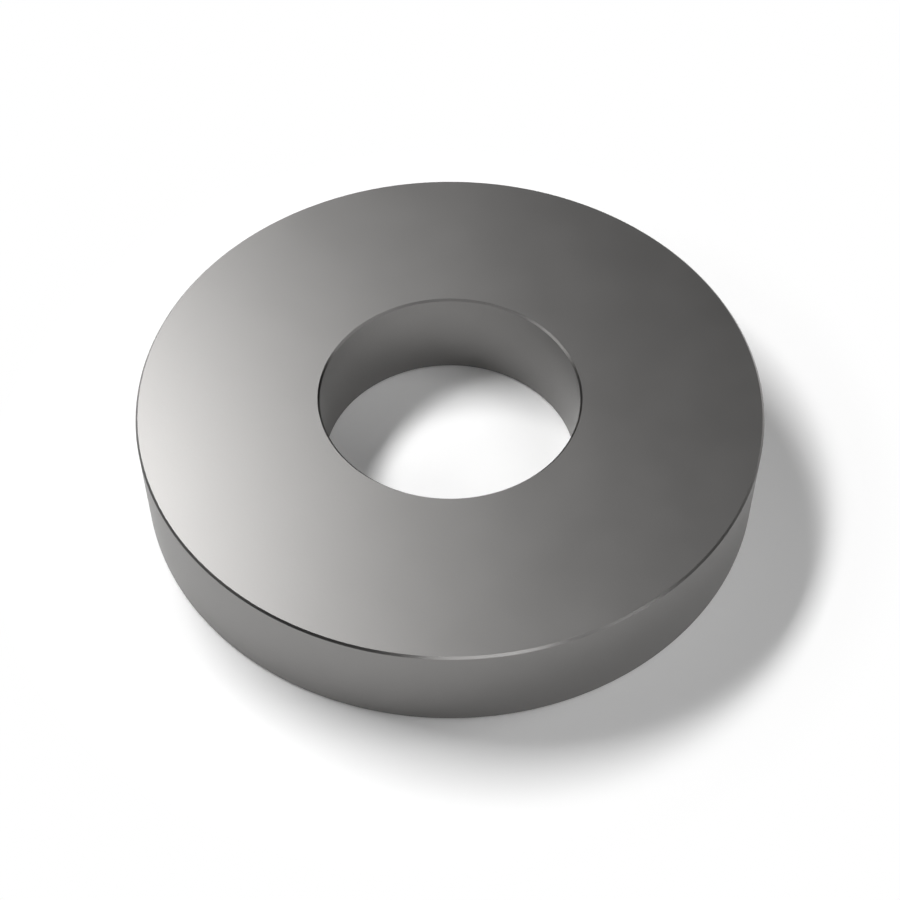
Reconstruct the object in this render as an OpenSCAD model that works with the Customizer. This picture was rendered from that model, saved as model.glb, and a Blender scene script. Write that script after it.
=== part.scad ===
// Thick washer
// One turned steel ring with two flat faces, a plain bolt hole and a small chamfer on each of its four edges.
// It lies on its bottom face: the origin is at the centre of that face, and +Z runs up the hole. Sizes are in mm.

/* [Ring] */
// Outer diameter
outer_d = 36; // [30:0.5:60]
// Diameter of the bolt hole
bore_d = 15; // [8:0.5:24]
// Thickness, from face to face
thickness = 6; // [2:0.25:12]

/* [Edges] */
// Leg of the 45 degree chamfer on both outer edges
outer_chamfer = 0.12; // [0.04:0.02:0.9]
// Leg of the 45 degree chamfer at both mouths of the hole
bore_chamfer = 0.12; // [0.04:0.02:0.9]

/* [Hidden] */
steel = [0.54, 0.54, 0.53];
outer_r = outer_d / 2;
bore_r = bore_d / 2;
ring_facets = 180;

// The ring's section on one side of its axis, with X as the distance from the axis
module ring_section() {
    polygon([
        [bore_r + bore_chamfer, 0],
        [outer_r - outer_chamfer, 0],
        [outer_r, outer_chamfer],
        [outer_r, thickness - outer_chamfer],
        [outer_r - outer_chamfer, thickness],
        [bore_r + bore_chamfer, thickness],
        [bore_r, thickness - bore_chamfer],
        [bore_r, bore_chamfer],
    ]);
}

module washer() {
    color(steel) rotate_extrude($fn = ring_facets) ring_section();
}

washer();
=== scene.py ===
# Thick washer: a satin steel ring lying flat on a white floor, under soft lights in a dark studio
import math
import bmesh
import bpy
import numpy as np
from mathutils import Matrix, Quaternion, Vector


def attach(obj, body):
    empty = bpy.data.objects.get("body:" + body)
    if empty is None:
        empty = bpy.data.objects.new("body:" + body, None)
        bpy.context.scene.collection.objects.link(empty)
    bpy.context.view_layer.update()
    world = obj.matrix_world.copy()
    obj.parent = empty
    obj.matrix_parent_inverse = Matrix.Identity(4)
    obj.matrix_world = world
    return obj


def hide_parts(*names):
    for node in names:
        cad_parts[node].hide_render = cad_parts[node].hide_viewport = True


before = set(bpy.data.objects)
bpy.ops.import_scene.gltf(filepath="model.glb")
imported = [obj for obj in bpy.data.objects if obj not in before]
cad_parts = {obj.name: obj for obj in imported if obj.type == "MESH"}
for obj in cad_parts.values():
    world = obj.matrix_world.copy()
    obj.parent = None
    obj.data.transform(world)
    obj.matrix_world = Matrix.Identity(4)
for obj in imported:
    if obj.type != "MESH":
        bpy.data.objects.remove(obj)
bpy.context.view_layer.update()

# Ring mesh: steps round the axis, across a flat face and up a wall, the angle in degrees from which an edge
# is sharp, and how close in metres to the solid's highest point a point still counts as on the top face
TURN_STEPS = 360
FACE_STEPS = 12
WALL_STEPS = 6
SHARP_DEGREES = 30
TOP_TOLERANCE = 1e-6

# Camera: the photograph's frame and the focal length in pixels, the sensor's width, the angle above the
# floor in degrees, and in outer radii the distance, the aim point in the top face's plane and the clipping
# range
FRAME_PX = 900
FOCAL_PX = 1871.9
SENSOR_MM = 36.0
CAMERA_ELEVATION = 50.73
CAMERA_DISTANCE = 5.835
CAMERA_AIM_Y = -0.2302
CLIP_START = 0.01
CLIP_END = 1000

# Soft lights, rectangles that face the origin: azimuth from +X and elevation in degrees, distance, length
# and width in outer radii, the turn of the length out of the level in degrees, and how bright the light
# makes a white card that faces it
LIGHTS = {
    "key": (143.5, 55.0, 9.5, 5.8, 1.6, 8.0, 0.99),
    "right_fill": (-1.0, 59.0, 11.2, 4.7, 4.6, 0.0, 0.17),
    "front_right_fill": (320.0, 12.0, 8.0, 2.5, 1.4, 0.0, 0.15),
    "front_strip": (281.0, 32.5, 8.0, 4.4, 0.6, 0.0, 0.08),
    "overhead_strip": (250.0, 43.5, 8.0, 14.0, 0.6, 0.0, 0.09),
    "left_strip": (180.0, 26.0, 8.0, 5.4, 1.0, 24.0, 0.075),
    "right_strip": (320.0, 38.0, 8.0, 4.6, 0.7, -12.0, 0.035),
    "low_right_strip": (0.0, 26.0, 8.0, 5.4, 1.0, -24.0, 0.045),
}
# The studio round the lights gives no light of its own
STUDIO_COLOR = (0.0, 0.0, 0.0)

# Steel: colour, roughness of the flat faces and walls, roughness of the smoother chamfers, and what marks a
# chamfer, which is the upright part of its normal, give or take the tolerance
STEEL_COLOR = (0.26, 0.255, 0.25)
STEEL_ROUGHNESS = 0.455
EDGE_ROUGHNESS = 0.3
CHAMFER_SLOPE = math.sqrt(0.5)
SLOPE_TOLERANCE = 0.2
# Blotches a few millimetres wide: how many fit in a metre, how far the roughness strays in them either way,
# and the share by which the colour does
BLOTCHES = 250
BLOTCH_ROUGHNESS = 0.02
BLOTCH_COLOR = 0.03
# Satin grain: how many grains fit in a metre, and their depth in metres
GRAINS = 6000
GRAIN_DEPTH = 2e-6

# Floor: its colour in the light that it throws on the ring and its colour to the eye, in outer radii the
# distances from the axis between which it fades to plain white and half its width, and the gap in metres
# that keeps it clear of the ring's underside
FLOOR_BOUNCE_COLOR = (0.83, 0.83, 0.83)
FLOOR_SEEN_COLOR = (1.0, 1.0, 1.0)
FLOOR_FADE_FROM = 1.3
FLOOR_FADE_TO = 1.55
FLOOR_HALF_WIDTH = 60
FLOOR_GAP = 1e-5


def add_object(name, data):
    """A new object in the scene."""
    obj = bpy.data.objects.new(name, data)
    bpy.context.scene.collection.objects.link(obj)
    return obj


def ring_sizes(node):
    """The ring's sizes in metres, measured on the mesh of its solid."""
    points = np.array([v.co for v in node.data.vertices])
    radius = np.hypot(points[:, 0], points[:, 1])
    height = points[:, 2]
    on_top = radius[height > height.max() - TOP_TOLERANCE]
    return {
        "bottom": float(height.min()),
        "top": float(height.max()),
        "outer": float(radius.max()),
        "bore": float(radius.min()),
        "outer_chamfer": float(radius.max() - on_top.max()),
        "bore_chamfer": float(on_top.min() - radius.min()),
    }


def ring_section(sizes):
    """The section's closed outline: points (radius, height), anticlockwise from the outer wall's foot."""
    outer, bore, bottom, top = sizes["outer"], sizes["bore"], sizes["bottom"], sizes["top"]
    outer_leg, bore_leg = sizes["outer_chamfer"], sizes["bore_chamfer"]
    sides = [
        (outer, bottom + outer_leg, WALL_STEPS),
        (outer, top - outer_leg, 1),
        (outer - outer_leg, top, FACE_STEPS),
        (bore + bore_leg, top, 1),
        (bore, top - bore_leg, WALL_STEPS),
        (bore, bottom + bore_leg, 1),
        (bore + bore_leg, bottom, FACE_STEPS),
        (outer - outer_leg, bottom, 1),
    ]
    outline = []
    for i, (r0, z0, steps) in enumerate(sides):
        r1, z1, _ = sides[(i + 1) % len(sides)]
        outline += [(r0 + (r1 - r0) * k / steps, z0 + (z1 - z0) * k / steps) for k in range(steps)]
    return outline


def make_ring(name, sizes):
    """The section turned about Z, smooth but for the edges of its chamfers."""
    outline = ring_section(sizes)
    bm = bmesh.new()
    rows = []
    for k in range(TURN_STEPS):
        angle = 2 * math.pi * k / TURN_STEPS
        rows.append([bm.verts.new((math.cos(angle) * r, math.sin(angle) * r, z)) for r, z in outline])
    for k in range(TURN_STEPS):
        here, there = rows[k], rows[(k + 1) % TURN_STEPS]
        for i in range(len(outline)):
            j = (i + 1) % len(outline)
            bm.faces.new((here[i], there[i], there[j], here[j]))
    mesh = bpy.data.meshes.new(name)
    bm.to_mesh(mesh)
    bm.free()
    mesh.shade_smooth()
    mesh.set_sharp_from_angle(angle=math.radians(SHARP_DEGREES))
    return add_object(name, mesh)


def feed(node, inputs):
    """Gives a node its inputs, by name or number: plain values, or the outputs of other nodes."""
    for key, value in inputs.items():
        if isinstance(value, bpy.types.NodeSocket):
            node.id_data.links.new(value, node.inputs[key])
        else:
            node.inputs[key].default_value = value


def math_node(tree, operation, *values):
    """The result of an operation on plain values or other nodes' outputs."""
    node = tree.nodes.new("ShaderNodeMath")
    node.operation = operation
    feed(node, dict(enumerate(values)))
    return node.outputs[0]


def map_range(tree, value, source, target, interpolation="LINEAR"):
    """A value carried over from the source range to the target range."""
    node = tree.nodes.new("ShaderNodeMapRange")
    node.interpolation_type = interpolation
    feed(node, {"Value": value, "From Min": source[0], "From Max": source[1]})
    feed(node, {"To Min": target[0], "To Max": target[1]})
    return node.outputs["Result"]


def mix_color(tree, factor, first, second):
    """The first colour at factor 0, the second at 1, and a blend of them between."""
    node = tree.nodes.new("ShaderNodeMix")
    node.data_type = "RGBA"
    feed(node, {"Factor": factor, "A": (*first, 1), "B": (*second, 1)})
    return node.outputs["Result"]


def noise(tree, place, scale):
    """Soft noise in the object's own space."""
    node = tree.nodes.new("ShaderNodeTexNoise")
    feed(node, {"Vector": place.outputs["Object"], "Scale": scale})
    return node.outputs["Fac"]


def seen_rays(tree):
    """Whether a ray comes from the eye, straight or by way of metal or glass."""
    path = tree.nodes.new("ShaderNodeLightPath")
    seen = path.outputs["Is Camera Ray"]
    for other in ("Is Glossy Ray", "Is Transmission Ray"):
        seen = math_node(tree, "MAXIMUM", seen, path.outputs[other])
    return seen


def steel_material():
    """Satin steel with a fine grain, faint blotches and smoother chamfers."""
    mat = bpy.data.materials.new("satin_steel")
    mat.use_nodes = True
    tree = mat.node_tree
    place = tree.nodes.new("ShaderNodeTexCoord")

    normal = tree.nodes.new("ShaderNodeSeparateXYZ")
    feed(normal, {0: place.outputs["Normal"]})
    slope = math_node(tree, "ABSOLUTE", normal.outputs["Z"])
    on_chamfer = math_node(tree, "COMPARE", slope, CHAMFER_SLOPE, SLOPE_TOLERANCE)
    roughness = map_range(tree, on_chamfer, (0, 1), (STEEL_ROUGHNESS, EDGE_ROUGHNESS))

    blotches = noise(tree, place, BLOTCHES)
    stray = map_range(tree, blotches, (0, 1), (-BLOTCH_ROUGHNESS, BLOTCH_ROUGHNESS))
    darker = [c * (1 - BLOTCH_COLOR) for c in STEEL_COLOR]
    lighter = [c * (1 + BLOTCH_COLOR) for c in STEEL_COLOR]

    bump = tree.nodes.new("ShaderNodeBump")
    feed(bump, {"Distance": GRAIN_DEPTH, "Height": noise(tree, place, GRAINS)})

    feed(tree.nodes["Principled BSDF"], {
        "Metallic": 1.0,
        "Roughness": math_node(tree, "ADD", roughness, stray),
        "Base Color": mix_color(tree, blotches, darker, lighter),
        "Normal": bump.outputs["Normal"],
    })
    return mat


def floor_material(unit):
    """White card that throws a little less light on the ring than it shows, and fades to plain white."""
    mat = bpy.data.materials.new("white_floor")
    mat.use_nodes = True
    tree = mat.node_tree
    tree.nodes.clear()
    seen = seen_rays(tree)
    card = tree.nodes.new("ShaderNodeBsdfDiffuse")
    feed(card, {"Color": mix_color(tree, seen, FLOOR_BOUNCE_COLOR, FLOOR_SEEN_COLOR)})

    place = tree.nodes.new("ShaderNodeTexCoord")
    reach = tree.nodes.new("ShaderNodeVectorMath")
    reach.operation = "LENGTH"
    feed(reach, {0: place.outputs["Object"]})
    fade_range = (FLOOR_FADE_FROM * unit, FLOOR_FADE_TO * unit)
    fade = map_range(tree, reach.outputs["Value"], fade_range, (0, 1), "SMOOTHSTEP")

    white = tree.nodes.new("ShaderNodeEmission")
    blend = tree.nodes.new("ShaderNodeMixShader")
    feed(blend, {"Fac": math_node(tree, "MULTIPLY", fade, seen), 1: card.outputs[0], 2: white.outputs[0]})
    out = tree.nodes.new("ShaderNodeOutputMaterial")
    feed(out, {"Surface": blend.outputs[0]})
    return mat


def make_floor(unit):
    """A wide square just under the ring."""
    half_width = FLOOR_HALF_WIDTH * unit
    corners = [(-1, -1), (1, -1), (1, 1), (-1, 1)]
    mesh = bpy.data.meshes.new("floor")
    mesh.from_pydata([(x * half_width, y * half_width, -FLOOR_GAP) for x, y in corners], [], [(0, 1, 2, 3)])
    mesh.materials.append(floor_material(unit))
    add_object("floor", mesh)


def add_light(name, unit, azimuth, elevation, distance, length, width, roll, level):
    """A soft rectangle that faces the origin and makes a white card there as bright as its level."""
    data = bpy.data.lights.new(name, "AREA")
    data.shape = "RECTANGLE"
    data.size = length * unit
    data.size_y = width * unit
    data.energy = level * (math.pi * distance * unit) ** 2
    az, el = math.radians(azimuth), math.radians(elevation)
    away = Vector((math.cos(az) * math.cos(el), math.sin(az) * math.cos(el), math.sin(el)))
    facing = away.to_track_quat("Z", "Y")
    light = add_object(name, data)
    light.location = away * distance * unit
    light.rotation_euler = (facing @ Quaternion((0, 0, 1), math.radians(roll))).to_euler()


def add_world():
    """The studio round the lights."""
    world = bpy.data.worlds.new("studio")
    world.use_nodes = True
    feed(world.node_tree.nodes["Background"], {"Color": (*STUDIO_COLOR, 1)})
    bpy.context.scene.world = world


def add_camera(unit, top):
    """The photograph's camera, in front of the ring and looking down at it."""
    data = bpy.data.cameras.new("camera")
    data.sensor_width = SENSOR_MM
    data.lens = FOCAL_PX / FRAME_PX * SENSOR_MM
    data.clip_start = CLIP_START * unit
    data.clip_end = CLIP_END * unit
    el = math.radians(CAMERA_ELEVATION)
    aim = Vector((0, CAMERA_AIM_Y * unit, top))
    camera = add_object("camera", data)
    camera.location = aim + CAMERA_DISTANCE * unit * Vector((0, -math.cos(el), math.sin(el)))
    camera.rotation_euler = (math.pi / 2 - el, 0, 0)
    bpy.context.scene.camera = camera


# The unit is the outer radius
sizes = ring_sizes(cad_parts["washer"])
unit = sizes["outer"]
add_camera(unit, sizes["top"])

ring = make_ring("washer_ring", sizes)
ring.data.materials.append(steel_material())
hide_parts("washer")
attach(ring, "root")

make_floor(unit)
for name, values in LIGHTS.items():
    add_light(name, unit, *values)
add_world()
bpy.context.scene.view_settings.view_transform = "Standard"
